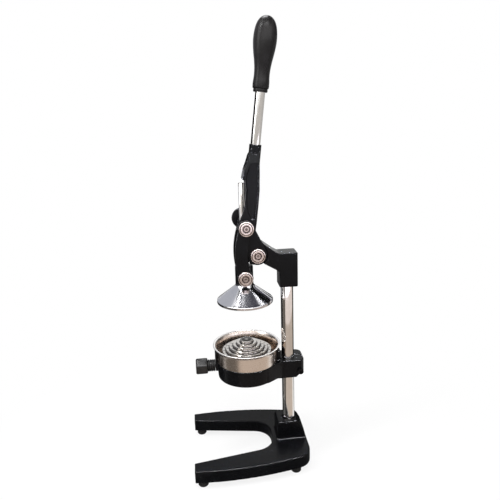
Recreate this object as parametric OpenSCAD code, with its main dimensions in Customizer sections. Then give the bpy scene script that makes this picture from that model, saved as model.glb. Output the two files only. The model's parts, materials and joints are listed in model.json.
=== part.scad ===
// Lever citrus juice press on a round post.
// Units are millimetres. The floor is z = 0 and the cup axis is x = 0, y = 0.
// The open side of the base faces -y.

/* [Base] */
// Overall length of the base casting, front to rear
base_len = 207; // [190:1:230]
// Width of the base casting at its widest place
base_w = 180; // [164:1:200]
// Distance of the widest place in front of the cup axis
wide_at = 50; // [30:1:60]
// Width of the base at the centres of its two rear corners
rear_w = 152; // [140:1:158]
// Height of the top face above the floor
base_top = 35; // [30:1:44]
// Gap between the underside of the base and the floor
foot_h = 12; // [9:0.5:14]
// Radius of the two rear corners seen from above
corner_r = 28; // [22:1:36]
// Width of the round end of the glass opening
bay_w = 88; // [76:1:96]
// Radius of the corners at the closed end of the glass opening
bay_r = 34; // [26:1:36]
// Distance from the cup axis to the closed end of the glass opening
bay_rear = 41; // [36:1:46]
// Outward splay of each inner side of the legs
bay_splay = 10; // [4:0.5:12]
// Width of the raised boss that holds the post
boss_w = 40; // [34:1:50]
// Height of the boss top above the floor
boss_top = 70; // [59:1:84]
// Front face of the boss, measured from the cup axis
boss_front = 50; // [48:1:56]
// Diameter of each rubber foot
foot_d = 18; // [14:1:20]
// Diameter of the screw in each foot
foot_screw_d = 4; // [3.5:0.5:5]
// How far each foot screw reaches into the base
foot_screw_in = 11; // [8:1:14]
// Depth of the recess that takes the head of the post bolt
post_bolt_recess = 9; // [8:0.5:11]

/* [Post] */
// Distance from the cup axis to the post axis
post_y = 74; // [72:0.5:78]
// Diameter of the post
post_d = 22; // [20:0.5:24]
// Height at which the foot of the post sits inside the boss
post_foot = 28; // [26:1:32]
// How far the post reaches up into the head block
post_in = 48; // [40:1:52]
// Diameter of the bolt that pulls the post down
post_bolt_d = 10; // [8:1:12]
// How far the post bolt reaches up into the post
post_bolt_in = 26; // [20:1:30]

/* [Cup holder] */
// Wall thickness of the holder ring
ring_wall = 3.8; // [3:0.2:5.4]
// Height of the underside of the ring above the floor
ring_low = 165; // [154:1:174]
// Height of the ring wall
ring_h = 29; // [24:0.5:31]
// How far the ring stands out past the cup body
ring_out = 0.3; // [0:0.1:2]
// How much narrower the ring is at its foot, as a moulding needs
ring_draft = 1.5; // [0.5:0.1:2.5]
// Width of the ledge that carries the cup
ledge_w = 6.2; // [4:0.2:8]
// Thickness of the ledge
ledge_t = 5; // [3:0.5:7]
// Width of the clamp block that slides on the post
clamp_w = 46; // [40:1:52]
// Height of the clamp block
clamp_h = 33; // [28:1:33]
// Metal behind the post in the clamp block
clamp_wall = 15.5; // [13:0.5:17]
// Radius of the clamp block's rear corners
clamp_r = 11; // [4:0.5:14]
// Height of the step under the clamp block's rear end
clamp_step = 6; // [2:0.5:7]
// Width of the slit that lets the clamp close on the post
slit_w = 2; // [1:0.5:3]
// Diameter of the clamp screw
clamp_screw_d = 6; // [5:1:8]
// Width of the front lug that carries the knob
lug_w = 20; // [16:1:28]
// Height of the front lug
lug_h = 33; // [28:1:38]
// Height of the front lug's underside above that of the ring
lug_up = 14; // [8:0.5:16]
// Thickness of the front lug beside the cup
lug_t = 3.3; // [2.5:0.1:6]

/* [Knob] */
// Height of the knob axis above the underside of the ring
knob_up = 21; // [17:0.5:24]
// Size of the six-sided knob head across its corners
knob_d = 31.4; // [24:0.2:33]
// How far the knob is left turned about its own axis
knob_turned = 25; // [0:1:59]
// Length of the knob head
knob_len = 21; // [16:1:26]
// Diameter of the ribbed neck of the knob
neck_d = 21.4; // [16:0.2:22]
// Length of the ribbed neck of the knob
neck_len = 13.5; // [10:0.5:20]
// Diameter of the knob stud
stud_d = 8; // [6:0.5:10]

/* [Cup] */
// Overhang of the cup's flared lip all round
lip_w = 6.3; // [4:0.1:8]
// Height of the cup rim above its seat
cup_h = 30.6; // [28:0.1:34]
// Height of the flared lip of the cup
lip_h = 8; // [5:0.5:9]
// Outside diameter of the cup body above the ring
cup_d = 107.4; // [96:0.2:112]
// Side clearance of the cup in its holder
cup_gap = 0.4; // [0.3:0.1:0.8]
// Wall thickness of the cup
cup_t = 1.6; // [1.2:0.1:2]
// Depth of the step that carries the strainer below the rim
step_down = 28.6; // [26:0.2:28.6]
// Outside diameter of the drain spout
spout_d = 28; // [20:1:32]
// How far the spout reaches below the holder ring
spout_out = 12; // [8:1:16]

/* [Strainer] */
// Side clearance of the strainer in the cup
strainer_gap = 0.4; // [0.3:0.1:0.8]
// Width of the flat flange round the strainer
flange_w = 7.7; // [5:0.1:12]
// Height of the dome above the step in the cup
dome_h = 36; // [30:0.5:38]
// Height of the strainer's outermost ring above the step
wall_h = 17.7; // [10:0.1:20]
// Number of raised rings between the flange and the top disc
ring_count = 5; // [4:1:6]
// Diameter of the top disc
top_disc_d = 23; // [16:0.5:26]
// Wall thickness of the strainer
strainer_t = 1.4; // [1:0.1:1.8]
// Diameter of each drain hole
drain_d = 2.6; // [2:0.2:3.6]

/* [Press cone] */
// Outside diameter of the cone rim
cone_d = 97.4; // [92:0.2:99]
// Depth of the rim's lower edge below the lower pivot
cone_drop = 47.2; // [44:0.2:50]
// Height of the straight rim
cone_lip = 5.2; // [4:0.2:7]
// Height of the sloping part of the cone
cone_rise = 24; // [20:0.5:28]
// Wall thickness of the cone
cone_t = 3; // [2.4:0.2:4]
// Diameter of the hub above the cone
hub_d = 31; // [28:0.5:31.2]
// Height of the hub top above the lower pivot
hub_over = 17.5; // [16:0.5:18]
// Diameter of the guide rod
rod_d = 10; // [9:0.5:11]
// Height of the guide rod's top end above the lower pivot
rod_over = 158.5; // [152:0.5:160.5]

/* [Linkage] */
// Distance of the fulcrum behind the cup axis
ful_y = 22.5; // [22:0.5:23]
// Height of the fulcrum above the floor
ful_z = 389; // [374:1:404]
// Depth of the lower pivot below the fulcrum
low_drop = 37.5; // [36:0.5:39]
// Distance of the upper pivot behind the cup axis
up_y = 4; // [3:0.5:5]
// Height of the upper pivot above the fulcrum
up_rise = 48; // [46:0.5:50]
// Width of each link plate
link_w = 21; // [18:0.5:22]
// Thickness of each link plate
link_t = 5.5; // [4:0.5:6]
// Radius of the links' eyes
eye_r = 13.8; // [12.5:0.1:14.5]
// Radius of the round lobe at the far link's upper end
lobe_r = 18; // [14:0.5:20]
// Height of the lobe's centre above the upper pivot
lobe_up = 11; // [4:0.5:13]
// Distance of the lobe's centre in front of the upper pivot
lobe_fore = 2.5; // [0:0.5:4]
// Forward bow of the links that lets them pass the fulcrum head
link_bow = 7; // [6.5:0.5:8]
// Diameter of the round bolt heads
head_d = 26; // [24:0.5:27]
// Thickness of the round bolt heads
head_t = 5.5; // [4:0.5:7]
// Diameter of the fulcrum bolt and the upper pivots
pivot_d = 12; // [10:0.5:12]
// Diameter of the lower pivot bolt
low_d = 10; // [8:0.5:10]

/* [Head] */
// Width of the head block
block_w = 34; // [32:0.5:38]
// Distance of the head block's front face from the post axis
block_fore = 15; // [14:0.5:16]
// Distance of the head block's rear face from the post axis
block_back = 17; // [15:0.5:22]
// Height of the head block
block_h = 60; // [56:1:66]
// Height of the head block's top above the fulcrum
block_over = 1; // [0:0.5:6]
// Diameter of each set screw in the head block
set_screw_d = 8; // [6:0.5:10]
// Thickness of the central tongue between the lever cheeks
tongue_w = 16; // [14:0.5:16]
// Length of the guide sleeve
sleeve_len = 40; // [30:1:42]
// Wall thickness of the guide bush
bush_t = 1.2; // [1:0.1:1.4]

/* [Lever] */
// Backward lean of the lever at rest
lean = 7; // [6.5:0.1:7.5]
// Height of the socket mouth above the fulcrum, on the lever's axis
socket_over = 182; // [178:1:188]
// Distance of the socket mouth behind the cup axis
socket_y = 25.8; // [25:0.1:27]
// Outside diameter of the socket
socket_d = 20; // [19:0.5:22]
// Depth of the socket's bore
socket_deep = 34; // [28:1:36]
// Outside diameter of the lever tube
tube_d = 16; // [14:0.5:16.5]
// Wall thickness of the lever tube
tube_t = 1.5; // [1:0.1:2]
// Thickness of each cheek of the fork
cheek_t = 7.2; // [6:0.2:7.2]
// Radius of the fork's round end at the fulcrum
cheek_r = 17; // [16:0.5:17]
// Height above the fulcrum at which the fork opens
slot_over = 127; // [126:0.5:129]
// Diameter of the pin through the socket
pin_d = 4; // [3:0.5:5]
// Distance of the pin from the socket mouth
pin_down = 14; // [10:1:18]

/* [Grip] */
// Distance along the lever from the socket mouth to the grip's end ring
grip_at = 80.6; // [76:0.2:90]
// Largest diameter of the grip
grip_d = 37; // [34:0.5:40]
// Smallest diameter of the grip
waist_d = 25; // [24:0.5:27]
// Length of the grip above its end ring
grip_len = 107; // [104:1:112]
// Diameter of the end ring
collar_d = 23; // [21:0.5:24]
// Height of the end ring
collar_h = 5.4; // [4:0.2:7]

/* [Fits] */
// Radial clearance of turning and sliding fits
run_fit = 0.05; // [0.02:0.01:0.08]
// Radial clearance of fixed fits
seat_fit = 0.02; // [0.01:0.01:0.03]
// Side clearance between the lever, the tongue and the links
side_gap = 0.4; // [0.3:0.05:0.5]

/* [Hidden] */
$fn = 96;
half_len = base_len / 2;
half_w = base_w / 2;
// Each flank is one arc, and each rear corner touches it without a kink.
corner_y = half_len - corner_r;
flank_run = corner_y + wide_at;
flank_in = (base_w - rear_w) / 2;
flank_r = (flank_run * flank_run + flank_in * flank_in) / (2 * flank_in);
flank_x = half_w - flank_r;
corner_x = flank_x + sqrt((flank_r - corner_r) * (flank_r - corner_r) - flank_run * flank_run);
flank_end = corner_y + corner_r * flank_run / (flank_r - corner_r);
bay_cx = bay_w / 2 - bay_r;
bay_cy = bay_rear - bay_r;
foot_front = [half_w - foot_d / 2 - 6, -half_len + foot_d / 2 + 4.5];
foot_rear = [corner_x + corner_r - foot_d / 2 - 3.5, corner_y];
ring_r = cup_d / 2 + ring_out;
ring_top = ring_low + ring_h;
seat_r = ring_r - ring_wall;
body_gap_r = cup_d / 2 + cup_gap;
ledge_d = 2 * (seat_r - ledge_w);
clamp_rear = post_y + post_d / 2 + clamp_wall;
lug_face = body_gap_r + lug_t;
lug_low = ring_low + lug_up;
lug_top = lug_low + lug_h;
knob_z = ring_low + knob_up;
rim_d = cup_d + 2 * lip_w;
rim_z = ring_top + cup_h;
step_z = rim_z - step_down;
spout_z = ring_low - spout_out;
flange_d = cup_d - 2 * cup_t - 2 * strainer_gap;
dome_d = flange_d - 2 * flange_w;
dome_top = step_z + dome_h;
low_z = ful_z - low_drop;
up_z = ful_z + up_rise;
cone_z = low_z - cone_drop;
rod_top = low_z + rod_over;
block_front = post_y - block_fore;
block_rear = post_y + block_back;
block_top = ful_z + block_over;
block_low = block_top - block_h;
post_tip = block_low + post_in;
socket_z = ful_z + socket_over;
slot_z = ful_z + slot_over;
clamp_low = ring_low - 4;
washer_t = 0.2 * post_bolt_d;
web_a = 36;
web_start = seat_r - 10;
bowl_r = seat_r - cup_gap;
shoulder_z = ring_top + 0.05;
bowl_z = ring_low + ledge_t + cup_gap;
screw_z = clamp_low + 13;
web_y = ring_r * sin(web_a) + (ring_r * cos(web_a) - clamp_w / 2) / tan(web_a);
clamp_y = clamp_rear - 8;
cheek_in = tongue_w / 2 + side_gap;
cheek_out = cheek_in + cheek_t;
link_in = cheek_out + side_gap;
link_out = link_in + link_t;
head_in = link_out + side_gap;
ful_head_out = link_out + 1;
// The side views of the head and the lever are drawn from the fulcrum, for an upper pivot 48 above it.
unit = up_rise / 48;
function at(dy, dz) = [ful_y + unit * dy, ful_z + unit * dz];
hub_top = low_z + hub_over;
sleeve_low = ful_z - 9 * unit;
bush_r = rod_d / 2 + run_fit + bush_t;
tube_in = 0.86 * grip_len;
link_chord = sqrt((up_y * up_y) + (up_z - low_z) * (up_z - low_z));
link_rad = (link_chord * link_chord / 4 + link_bow * link_bow) / (2 * link_bow);
link_tilt = atan2(up_y, up_z - low_z);
crank = sqrt((ful_y - up_y) * (ful_y - up_y) + (up_z - ful_z) * (up_z - ful_z));
bend = at(-1.9, 43);
bend_a = asin(cheek_r / norm(bend - [ful_y, ful_z])) + atan2(ful_y - bend[0], bend[1] - ful_z);
cast_black = [0.11, 0.11, 0.115];
chrome = [0.80, 0.80, 0.82];
steel = [0.70, 0.70, 0.72];
plastic = [0.07, 0.07, 0.075];
bronze = [0.72, 0.55, 0.30];
rubber = [0.06, 0.06, 0.06];

// Extrudes a side view drawn as [y, z] along x, from x = a to x = b.
module side(a, b) {
    translate([a, 0, 0]) rotate([90, 0, 90]) linear_extrude(height = b - a) children();
}

// Cylinder along x through the point [y, z], from x = a to x = b.
module bar_x(y, z, r, a, b) {
    translate([a, y, z]) rotate([0, 90, 0]) cylinder(r = r, h = b - a);
}

// Moves children to the socket mouth with z running up the lever.
module on_lever() {
    translate([0, socket_y, socket_z]) rotate([-lean, 0, 0]) children();
}

// Round bolt head with two turned steps, its face towards +x, from x = a to x = b.
module round_head(y, z, a, b) {
    difference() {
        union() {
            bar_x(y, z, head_d / 2, a, b - 1);
            bar_x(y, z, head_d / 2 - 1.2, b - 1.2, b);
        }
        difference() {
            bar_x(y, z, head_d / 2 - 4, b - 0.8, b + 1);
            bar_x(y, z, head_d / 2 - 7.5, b - 1, b + 1);
        }
    }
}

module base_outline() {
    difference() {
        union() {
            intersection() {
                translate([-half_w - 1, -half_len]) square([base_w + 2, half_len + flank_end]);
                translate([flank_x, -wide_at]) circle(r = flank_r, $fn = 720);
                translate([-flank_x, -wide_at]) circle(r = flank_r, $fn = 720);
            }
            translate([-corner_x, corner_y]) square([2 * corner_x, corner_r]);
            for (s = [-1, 1]) translate([s * corner_x, corner_y]) circle(r = corner_r);
        }
        bay_outline();
    }
}

module bay_outline() {
    ax = bay_cx + bay_r * cos(bay_splay);
    ay = bay_cy + bay_r * sin(bay_splay);
    front = half_len + 5;
    fx = ax + (ay + front) * tan(bay_splay);
    polygon([[-ax, ay], [ax, ay], [fx, -front], [-fx, -front]]);
    translate([-bay_cx, bay_cy - 4]) square([2 * bay_cx, bay_r + 4]);
    for (s = [-1, 1]) translate([s * bay_cx, bay_cy]) circle(r = bay_r);
}

module base_casting() {
    color(cast_black) difference() {
        union() {
            translate([0, 0, foot_h]) linear_extrude(height = base_top - foot_h) base_outline();
            side(-boss_w / 2, boss_w / 2) polygon([[boss_front, base_top - 1], [boss_front, boss_top - 3],
                [boss_front + 3, boss_top], [post_y + 13, boss_top], [post_y + 19, boss_top - 6],
                [half_len - 5, boss_top - 16], [half_len - 1, base_top + 2], [half_len - 1, base_top - 1]]);
        }
        translate([0, post_y, post_foot]) cylinder(d = post_d + 2 * seat_fit, h = boss_top);
        translate([0, post_y, 0]) cylinder(d = post_bolt_d + 2 * seat_fit, h = post_foot + 1);
        translate([0, post_y, 0]) cylinder(d = 2.4 * post_bolt_d, h = foot_h + post_bolt_recess);
        for (p = [foot_front, foot_rear], s = [-1, 1])
            translate([s * p[0], p[1], 0])
                cylinder(d = foot_screw_d + 2 * seat_fit, h = foot_h + foot_screw_in + 2);
    }
}

module rubber_feet() {
    color(rubber) for (p = [foot_front, foot_rear], s = [-1, 1]) translate([s * p[0], p[1], 0])
        difference() {
            union() {
                cylinder(d1 = foot_d - 2, d2 = foot_d, h = 1.5);
                translate([0, 0, 1.5]) cylinder(d = foot_d, h = foot_h - 1.5);
            }
            translate([0, 0, -1]) cylinder(d = 2 * foot_screw_d, h = foot_h / 2 + 1);
            cylinder(d = foot_screw_d + 2 * seat_fit, h = foot_h + 1);
        }
}

module foot_screws() {
    color(steel) for (p = [foot_front, foot_rear], s = [-1, 1]) translate([s * p[0], p[1], 0]) {
        translate([0, 0, 0.2 * foot_h]) cylinder(d = 1.85 * foot_screw_d, h = 0.3 * foot_h);
        translate([0, 0, foot_h / 2 - 0.1]) cylinder(d = foot_screw_d, h = foot_h / 2 + foot_screw_in);
    }
}

module post() {
    color(chrome) difference() {
        translate([0, post_y, post_foot]) cylinder(d = post_d, h = post_tip - post_foot);
        translate([0, post_y, post_foot - 1]) cylinder(d = post_bolt_d + 2 * seat_fit, h = post_bolt_in + 5);
    }
}

module post_bolt() {
    z0 = foot_h + post_bolt_recess - washer_t;
    color(steel) {
        translate([0, post_y, z0 - 0.65 * post_bolt_d])
            cylinder(d = 1.7 * post_bolt_d, h = 0.65 * post_bolt_d, $fn = 6);
        translate([0, post_y, z0 - 0.1]) cylinder(d = post_bolt_d, h = post_foot + post_bolt_in - z0);
    }
}

module post_washer() {
    color(steel) translate([0, post_y, foot_h + post_bolt_recess - washer_t]) difference() {
        cylinder(d = 2.1 * post_bolt_d, h = washer_t);
        translate([0, 0, -1]) cylinder(d = post_bolt_d + 0.4, h = 4);
    }
}

module head_bracket() {
    rr = cheek_r + side_gap;
    heel = [ful_y + rr * cos(bend_a), ful_z + rr * sin(bend_a)];
    tip = heel + 14 * unit * [-sin(bend_a), cos(bend_a)];
    color(cast_black) difference() {
        union() {
            translate([0, 0, block_low]) linear_extrude(height = block_top - block_low) {
                translate([-block_w / 2, block_front + 3]) square([block_w, block_rear - block_front - 6]);
                translate([-block_w / 2 + 3, block_front]) square([block_w - 6, block_rear - block_front]);
                for (x = [-1, 1], y = [block_front + 3, block_rear - 3])
                    translate([x * (block_w / 2 - 3), y]) circle(r = 3);
            }
            side(-block_w / 2 + 1, block_w / 2 - 1) polygon([
                [block_front + 4, ful_z - 34 * unit], [block_front + 4, block_top - 0.5],
                [block_front - 1, block_top + 0.6], at(29.5, 5), at(16.1, 15), tip, heel,
                at(4, 0), at(10.3, -15.2), at(30.5, -27.1)]);
            side(-tongue_w / 2, tongue_w / 2) polygon([
                at(21.5, -22), at(21.5, 11), at(10.5, 19), at(3.5, 20), at(-12.5, 28),
                [0, ful_z + 30 * unit], [0, ful_z - 6 * unit], at(-12.3, -9), at(-12.3, -16.8),
                at(-6, -18.4), at(2, -17.6), at(10.5, -15.2)]);
            intersection() {
                translate([0, 0, sleeve_low]) cylinder(r = rod_d, h = sleeve_len);
                translate([-tongue_w / 2, -rod_d - 1, sleeve_low - 1])
                    cube([tongue_w, 3 * rod_d, sleeve_len + 2]);
            }
        }
        difference() {
            bar_x(ful_y, ful_z, rr, -block_w, block_w);
            translate([-tongue_w / 2, 0, ful_z - 80]) cube([tongue_w, 80, 160]);
        }
        translate([0, post_y, block_low - 1])
            cylinder(d = post_d + 2 * seat_fit, h = post_tip + 2 - block_low + 1);
        bar_x(ful_y, ful_z, pivot_d / 2 + seat_fit, -block_w, block_w);
        translate([0, 0, sleeve_low - 5]) cylinder(r = bush_r + seat_fit, h = sleeve_len + 30);
        for (z = [block_low + 0.27 * block_h, block_low + 0.67 * block_h])
            translate([0, post_y, z]) rotate([-90, 0, 0]) cylinder(d = set_screw_d + 2 * seat_fit, h = 60);
    }
}

module head_set_screws() {
    color(steel) for (z = [block_low + 0.27 * block_h, block_low + 0.67 * block_h])
        translate([0, post_y + post_d / 2 + seat_fit, z]) rotate([-90, 0, 0]) difference() {
            cylinder(d = set_screw_d, h = block_rear - post_y - post_d / 2 - 0.8);
            translate([0, 0, 2]) cylinder(d = 0.575 * set_screw_d, h = 20, $fn = 6);
        }
}

module guide_bush() {
    color(bronze) translate([0, 0, sleeve_low - 1]) difference() {
        cylinder(r = bush_r, h = sleeve_len + 2);
        translate([0, 0, -1]) cylinder(r = rod_d / 2 + run_fit, h = sleeve_len + 4);
    }
}

module fulcrum_bolt() {
    color(steel) {
        round_head(ful_y, ful_z, link_in, ful_head_out);
        bar_x(ful_y, ful_z, pivot_d / 2, -cheek_out - 4, link_in + 0.1);
    }
}

module fulcrum_nut() {
    color(steel) mirror([1, 0, 0]) difference() {
        round_head(ful_y, ful_z, link_in, ful_head_out);
        bar_x(ful_y, ful_z, pivot_d / 2 + seat_fit, link_in - 1, cheek_out + 4.02);
    }
}

module cup_holder() {
    color(cast_black) difference() {
        union() {
            translate([0, 0, ring_low]) cylinder(r1 = ring_r - ring_draft, r2 = ring_r, h = ring_h);
            intersection() {
                translate([0, 0, clamp_low]) linear_extrude(height = clamp_h) {
                    translate([-clamp_w / 2, web_start]) square([clamp_w, clamp_rear - clamp_r - web_start]);
                    translate([-clamp_w / 2 + clamp_r, web_start])
                        square([clamp_w - 2 * clamp_r, clamp_rear - web_start]);
                    for (s = [-1, 1])
                        translate([s * (clamp_w / 2 - clamp_r), clamp_rear - clamp_r]) circle(r = clamp_r);
                }
                side(-clamp_w, clamp_w) polygon([[0, clamp_low], [clamp_rear - 15, clamp_low],
                    [clamp_rear - 9, clamp_low + clamp_step], [clamp_rear, clamp_low + clamp_step],
                    [clamp_rear, clamp_low + clamp_h], [0, clamp_low + clamp_h]]);
            }
            translate([0, 0, ring_low]) linear_extrude(height = ring_h)
                polygon([[-ring_r * cos(web_a), ring_r * sin(web_a)],
                    [ring_r * cos(web_a), ring_r * sin(web_a)],
                    [clamp_w / 2, web_y], [-clamp_w / 2, web_y]]);
            translate([-lug_w / 2, -lug_face, lug_low]) cube([lug_w, 20, lug_top - lug_low]);
            translate([-clamp_w / 2 + 8, web_start, ring_low])
                cube([clamp_w - 16, body_gap_r + 4.6 - web_start, lug_top - ring_low - 1]);
        }
        translate([0, 0, ring_low + ledge_t]) cylinder(r = seat_r, h = 80);
        translate([0, 0, ring_top]) cylinder(r = body_gap_r, h = 60);
        translate([0, 0, clamp_low - 1]) cylinder(d = ledge_d, h = 80);
        translate([0, post_y, clamp_low - 1]) cylinder(d = post_d + 2 * run_fit, h = 90);
        translate([-slit_w / 2, post_y, clamp_low - 1]) cube([slit_w, 40, clamp_h + 2]);
        bar_x(clamp_y, screw_z, clamp_screw_d / 2 + seat_fit, -clamp_w, clamp_w);
        bar_x(clamp_y, screw_z, 5.6, -clamp_w, -clamp_w / 2 + 5);
        translate([0, -seat_r + 10, knob_z]) rotate([90, 0, 0])
            cylinder(d = stud_d + 2 * run_fit, h = 40);
    }
}

module clamp_screw() {
    color(steel) difference() {
        union() {
            bar_x(clamp_y, screw_z, clamp_screw_d / 2, -clamp_w / 2 + 1, clamp_w / 2 + 0.1);
            bar_x(clamp_y, screw_z, 5, clamp_w / 2, clamp_w / 2 + 5);
        }
        translate([clamp_w / 2 + 2, clamp_y, screw_z]) rotate([0, 90, 0])
            cylinder(d = 5.6, h = 6, $fn = 6);
    }
}

module clamp_nut() {
    color(steel) translate([-clamp_w / 2 + 0.2, clamp_y, screw_z]) rotate([0, 90, 0])
        difference() {
            cylinder(d = 11, h = 4.7, $fn = 6);
            translate([0, 0, 0.8]) cylinder(r = clamp_screw_d / 2 + seat_fit, h = 6);
        }
}

module knob() {
    y0 = lug_face + 0.3;
    rib_r = neck_d / 2;
    color(plastic) translate([0, -y0, knob_z]) rotate([90, 0, 0]) difference() {
        union() {
            cylinder(r = rib_r - 0.7, h = neck_len + 0.1);
            for (i = [0 : 5]) translate([0, 0, i * neck_len / 6]) cylinder(r = rib_r, h = neck_len / 12);
            intersection() {
                translate([0, 0, neck_len]) rotate([0, 0, knob_turned])
                    cylinder(d = knob_d, h = knob_len, $fn = 6);
                translate([0, 0, neck_len]) rotate_extrude() polygon([[0, 0], [knob_d / 2 - 2.4, 0],
                    [knob_d / 2 - 0.6, 1.4], [knob_d / 2 - 0.6, knob_len - 4],
                    [knob_d / 2 - 2.4, knob_len - 1.4], [knob_d / 2 - 4.4, knob_len], [0, knob_len]]);
            }
        }
        translate([0, 0, -1]) cylinder(d = stud_d + 2 * seat_fit, h = 22);
    }
}

module knob_stud() {
    color(steel) translate([0, -seat_r - 0.5, knob_z]) rotate([90, 0, 0])
        cylinder(d = stud_d, h = lug_face - seat_r - 0.5 + 20);
}

// The cup is one pressing with a spout brazed on. It is three nodes, so that its collision stays thin-walled.
module cup() {
    ro = cup_d / 2;
    ri = ro - cup_t;
    rr = rim_d / 2;
    color(steel) rotate_extrude() polygon([
        [bowl_r - cup_t, shoulder_z], [ro, shoulder_z], [ro, rim_z - lip_h], [ro + 1.2, rim_z - lip_h + 3.4],
        [rr - 1.6, rim_z - 2.2], [rr, rim_z - 1.3], [rr, rim_z - 0.4], [rr - 0.6, rim_z],
        [rr - 2.4, rim_z], [rr - 4, rim_z - 0.6], [ri + 1.6, rim_z - lip_h + 3],
        [ri, rim_z - lip_h - 2], [ri, step_z], [bowl_r - cup_t, step_z]]);
}

module cup_bowl() {
    rs = spout_d / 2;
    color(steel) rotate_extrude() polygon([
        [rs - cup_t, bowl_z - 7], [rs, bowl_z - 7], [ledge_d / 2 - 1, bowl_z], [bowl_r - 2, bowl_z],
        [bowl_r, bowl_z + 2], [bowl_r, shoulder_z], [bowl_r - cup_t, shoulder_z],
        [bowl_r - cup_t, bowl_z + cup_t + 2], [ledge_d / 2 - 3, bowl_z + cup_t],
        [rs - cup_t, bowl_z + cup_t - 8]]);
}

module cup_spout() {
    color(steel) translate([0, 0, spout_z]) difference() {
        cylinder(d = spout_d, h = bowl_z - 7 - spout_z);
        translate([0, 0, -1]) cylinder(d = spout_d - 2 * cup_t, h = 60);
    }
}

// Height of the top of a strainer ring of radius r: the rings stand on a cone.
function ring_z(r) = step_z + dome_h - (dome_h - wall_h) * (2 * r - top_disc_d) / (dome_d - top_disc_d);

module strainer() {
    rt = top_disc_d / 2;
    rd = dome_d / 2;
    pitch = (rd - rt) / ring_count;
    color(steel) difference() {
        union() {
            translate([0, 0, step_z]) cylinder(d = flange_d, h = strainer_t);
            for (i = [0 : ring_count - 1])
                translate([0, 0, step_z]) cylinder(r = rd - i * pitch, h = ring_z(rd - i * pitch) - step_z);
            translate([0, 0, step_z]) cylinder(r = rt, h = dome_h);
        }
        for (i = [0 : ring_count - 1]) translate([0, 0, step_z - 1])
            cylinder(r = rd - i * pitch - strainer_t, h = ring_z(rd - i * pitch) - strainer_t - step_z + 1);
        translate([0, 0, step_z - 1]) cylinder(r = rt - strainer_t, h = dome_h - strainer_t + 1);
        for (i = [0 : 2], k = [0 : 23 - 4 * i])
            rotate([0, 0, 360 * k / (24 - 4 * i)]) translate([rd - (i + 0.5) * pitch, 0, step_z - 1])
                cylinder(d = drain_d, h = 60);
    }
}

module press_cone() {
    r1 = cone_d / 2;
    rh = hub_d / 2;
    z1 = cone_z + cone_lip;
    z2 = z1 + cone_rise;
    color(chrome) difference() {
        rotate_extrude() polygon([[r1 - cone_t, cone_z], [r1 - 0.8, cone_z], [r1, cone_z + 0.8],
            [r1, z1 - 0.8], [r1 - 0.8, z1], [r1 - 1.8, z1 + 0.4], [rh + 1, z2 - 0.8],
            [rh, z2 + 0.6], [rh, hub_top - 1],
            [rh - 1, hub_top], [0, hub_top], [0, z2 - 1], [rh - 6, z2 - 2], [r1 - cone_t - 1.5, z1 - 1.2],
            [r1 - cone_t, z1 - 2.5]]);
        bar_x(0, low_z, low_d / 2 + seat_fit, -rh - 1, rh + 1);
        translate([0, 0, low_z + low_d / 2 + 1.5]) cylinder(r = rod_d / 2 + seat_fit, h = 30);
    }
}

module guide_rod() {
    z0 = low_z + low_d / 2 + 1.6;
    color(chrome) {
        translate([0, 0, z0]) cylinder(d = rod_d, h = rod_top - 0.8 - z0);
        translate([0, 0, rod_top - 0.8]) cylinder(d1 = rod_d, d2 = rod_d - 1.6, h = 0.8);
    }
}

module rod_nut() {
    color(steel) translate([0, 0, hub_top]) rotate([0, 0, 30]) difference() {
        cylinder(d = 17.6, h = 5.5, $fn = 6);
        translate([0, 0, -1]) cylinder(r = rod_d / 2 + seat_fit, h = 8);
    }
}

module lower_bolt() {
    color(steel) {
        round_head(0, low_z, head_in, head_in + head_t);
        bar_x(0, low_z, low_d / 2, -link_out - 4, head_in + 0.1);
    }
}

module lower_nut() {
    color(steel) mirror([1, 0, 0]) difference() {
        round_head(0, low_z, head_in, head_in + head_t);
        bar_x(0, low_z, low_d / 2 + seat_fit, head_in - 1, link_out + 4.02);
    }
}

module link_shape() {
    my = up_y / 2;
    mz = (up_z + low_z) / 2;
    d = link_rad - link_bow;
    cy = my + d * cos(link_tilt);
    cz = mz - d * sin(link_tilt);
    difference() {
        union() {
            intersection() {
                translate([cy, cz]) difference() {
                    circle(r = link_rad + link_w / 2, $fn = 180);
                    circle(r = link_rad - link_w / 2, $fn = 180);
                }
                polygon([[cy, cz], [2 * up_y - cy, 2 * up_z - cz], [-cy, 2 * low_z - cz]]);
            }
            translate([up_y, up_z]) circle(r = eye_r);
            translate([0, low_z]) circle(r = eye_r);
            children();
        }
        translate([up_y, up_z]) circle(r = pivot_d / 2 + seat_fit);
        translate([0, low_z]) circle(r = low_d / 2 + run_fit);
    }
}

module link_near() {
    color(cast_black) side(link_in, link_out) link_shape();
}

module link_far() {
    color(cast_black) side(-link_out, -link_in) link_shape()
        translate([up_y - lobe_fore, up_z + lobe_up]) circle(r = lobe_r);
}

module upper_bolt_heads() {
    color(steel) for (m = [0, 1]) mirror([m, 0, 0]) {
        round_head(up_y, up_z, link_out, link_out + head_t);
        bar_x(up_y, up_z, pivot_d / 2, link_in + 0.05, link_out + 0.1);
    }
}

module upper_bolt_shanks() {
    color(steel) for (m = [0, 1]) mirror([m, 0, 0])
        bar_x(up_y, up_z, pivot_d / 2, cheek_in + 0.2, cheek_out);
}

module fulcrum_bushes() {
    color(bronze) for (m = [0, 1]) mirror([m, 0, 0]) difference() {
        bar_x(ful_y, ful_z, pivot_d / 2 + run_fit + 2, cheek_in, cheek_out);
        bar_x(ful_y, ful_z, pivot_d / 2 + run_fit, cheek_in - 1, cheek_out + 1);
    }
}

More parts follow.
